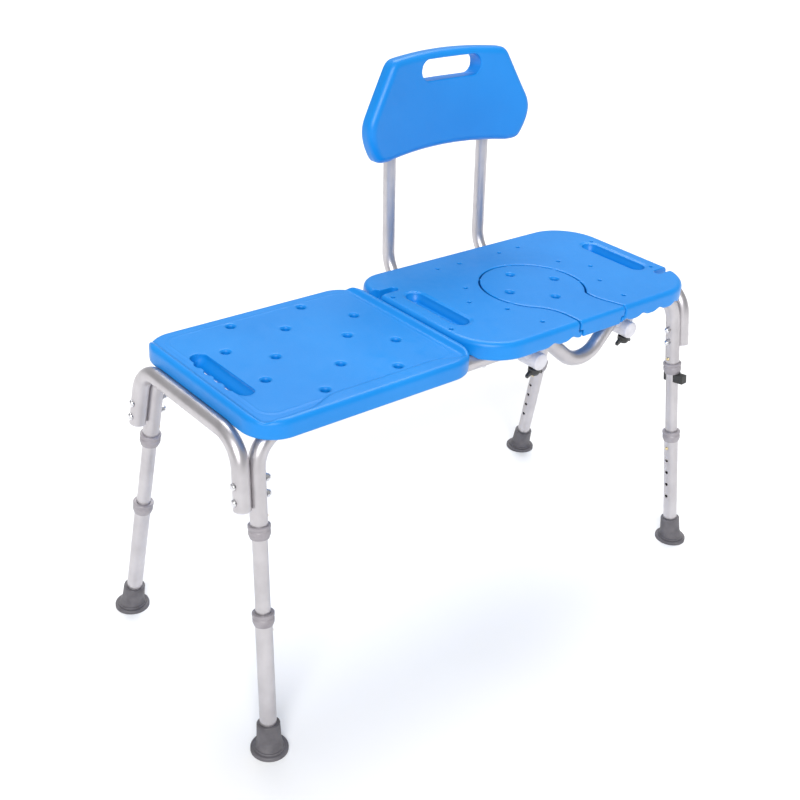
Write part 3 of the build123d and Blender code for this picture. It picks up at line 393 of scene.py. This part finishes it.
def soften_scoops(obj):
    """Flares the upper edge of the two hand scoops."""
    scoop_x, scoop_half, scoop_radius, flare = 0.214, 0.054, 0.0125, 0.0030
    low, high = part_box("seat_panel_right")
    middle = (low + high) / 2
    xyz = points(obj)
    for side in (-1, 1):
        x = xyz[:, 0] - middle.x - side * scoop_x
        y = xyz[:, 1] - middle.y
        y_past = y - np.clip(y, -scoop_half, scoop_half)
        reach = np.hypot(x, y_past)
        near = 1 - step(np.abs(reach - scoop_radius), 0.0015, 0.0100)
        push = flare * near * step(xyz[:, 2], high.z - 0.015, high.z - 0.001)
        xyz[:, 0] += push * x / np.maximum(reach, 1e-4)
        xyz[:, 1] += push * y_past / np.maximum(reach, 1e-4)
        xyz[:, 2] -= 0.5 * push
    set_points(obj, xyz)


def widen_drain_holes(obj):
    """Opens the small drain holes a little; their places are measured from the middle of their pattern."""
    opened, pattern_x, pattern_y = 0.0011, -0.007, 0.008
    low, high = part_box("seat_panel_right")
    middle = (low + high) / 2
    half_pattern = (
        (0.098, 0.114),
        (0.0485, 0.112),
        (0.113, 0.026),
        (0.147, -0.020),
        (0.112, -0.073),
        (0.098, -0.139),
        (0.241, 0.062),
        (0.241, -0.080),
    )
    xyz = points(obj)
    for side in (-1, 1):
        for aside, ahead in half_pattern:
            x = xyz[:, 0] - (middle.x + pattern_x + side * aside)
            y = xyz[:, 1] - (middle.y + pattern_y + ahead)
            reach = np.hypot(x, y)
            push = opened * (1 - step(reach, 0.0032, 0.0068)) / np.maximum(reach, 1e-4)
            xyz[:, 0] += push * x
            xyz[:, 1] += push * y
    set_points(obj, xyz)


def wave_lower_edge(obj):
    """Shallow arches along the lower front edge, where the moulding's skins are pressed together."""
    pitch, rise = 0.0434, 0.0048
    low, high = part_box("seat_panel_right")
    xyz = points(obj)
    arch = 0.5 - 0.5 * np.cos(2 * np.pi * (xyz[:, 0] - low.x) / pitch)
    front = 1 - step(xyz[:, 1], low.y + 0.016, low.y + 0.030)
    lower = 1 - step(xyz[:, 2], low.z + 0.001, low.z + 0.013)
    span = step(xyz[:, 0], low.x + 0.110, low.x + 0.130)
    xyz[:, 2] += rise * arch**2 * front * lower * span
    set_points(obj, xyz)


def make_seat_right():
    """Right seat panel and the commode insert in it, both rounded along the seam between them."""
    panel = soft_copy("seat_panel_right", voxel=0.0012, passes=2)
    insert = soft_copy("commode_insert", voxel=0.0010, passes=2)
    low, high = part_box("commode_insert")
    radius = (high.x - low.x) / 2
    middle = Vector(((low.x + high.x) / 2, high.y - radius, high.z))
    panel_xyz, insert_xyz = points(panel), points(insert)
    open_seam(panel, seam_distance(panel_xyz, insert_xyz), middle)
    open_seam(insert, seam_distance(insert_xyz, panel_xyz), middle)
    soften_scoops(panel)
    widen_drain_holes(panel)
    wave_lower_edge(panel)
    shown(thin_out(settle(panel, 1), 190_000), "seat_panel_right")
    shown(thin_out(settle(insert, 1), 120_000), "commode_insert")


def make_backrest():
    node = "backrest_panel"
    shown(thin_out(soft_copy(node, voxel=0.0012, passes=4), 160_000), node)


make_seat_left()
make_seat_right()
make_backrest()


# ---------------------------------------------------------------- floor, light and camera
def make_floor():
    bpy.ops.mesh.primitive_plane_add(size=60)
    floor = bpy.context.object
    floor.name = "floor"
    paper = Finish("pale studio floor", specular=0.1)
    paper.colour(paper.noise(0.8, 2), (0.3, (0.90, 0.90, 0.905)), (0.7, (0.925, 0.925, 0.93)))
    paper.rough(paper.noise(4, 2), 0.85, 0.95)
    floor.data.materials.append(paper.material)
    floor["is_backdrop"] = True


def make_sun(name, towards, strength, spread):
    """A broad soft light from far away: it shines along the given direction, spread in degrees."""
    lamp = bpy.data.lights.new(name, "SUN")
    lamp.energy = strength
    lamp.angle = math.radians(spread)
    obj = bpy.data.objects.new(name, lamp)
    bpy.context.scene.collection.objects.link(obj)
    obj.rotation_mode = "QUATERNION"
    obj.rotation_quaternion = Vector(towards).to_track_quat("-Z", "Y")


def make_sky(*stops):
    """Studio surroundings whose brightness depends on the height above the horizon."""
    world = bpy.data.worlds.new("studio")
    bpy.context.scene.world = world
    world.use_nodes = True
    tree = world.node_tree
    place = tree.nodes.new("ShaderNodeTexCoord")
    split = tree.nodes.new("ShaderNodeSeparateXYZ")
    ramp = tree.nodes.new("ShaderNodeValToRGB")
    elements = ramp.color_ramp.elements
    while len(elements) < len(stops):
        elements.new(0.5)
    for element, (height, grey) in zip(elements, stops):
        element.position = height
        element.color = (grey * 0.98, grey * 0.99, grey, 1)
    tree.links.new(place.outputs["Generated"], split.inputs["Vector"])
    tree.links.new(split.outputs["Z"], ramp.inputs["Fac"])
    tree.links.new(ramp.outputs["Color"], tree.nodes["Background"].inputs["Color"])


def make_camera():
    """Three-quarter view from the front left, turned, raised and rolled by the three angles."""
    low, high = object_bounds()
    middle = (low + high) / 2
    turn, rise, roll = math.radians(-41.59), math.radians(28.71), math.radians(3.95)
    back = Vector((math.sin(turn) * math.cos(rise), -math.cos(turn) * math.cos(rise), math.sin(rise)))
    right = (-back).cross(Vector((0, 0, 1))).normalized()
    up = right.cross(-back)
    rolled_right = right * math.cos(roll) + up * math.sin(roll)
    rolled_up = up * math.cos(roll) - right * math.sin(roll)
    distance, aside, raised = 1.97448, -0.05753, -0.07863
    place = middle + back * distance + rolled_right * aside + rolled_up * raised
    data = bpy.data.cameras.new("camera")
    data.lens = 53.21
    data.sensor_width = 36
    data.shift_x = 0.0054
    data.clip_start, data.clip_end = 0.05, 100
    camera = bpy.data.objects.new("camera", data)
    bpy.context.scene.collection.objects.link(camera)
    basis = Matrix((rolled_right, rolled_up, back)).transposed().to_4x4()
    camera.matrix_world = Matrix.Translation(place) @ basis
    bpy.context.scene.camera = camera


make_floor()
make_sky((0.0, 0.55), (0.25, 0.42), (0.7, 0.47), (1.0, 0.52))
make_sun("key", (0.55, 0.62, -0.62), 2.6, 35)
make_sun("back", (-0.35, -0.40, -0.85), 1.9, 40)
make_camera()
bpy.context.scene.view_settings.view_transform = "Standard"
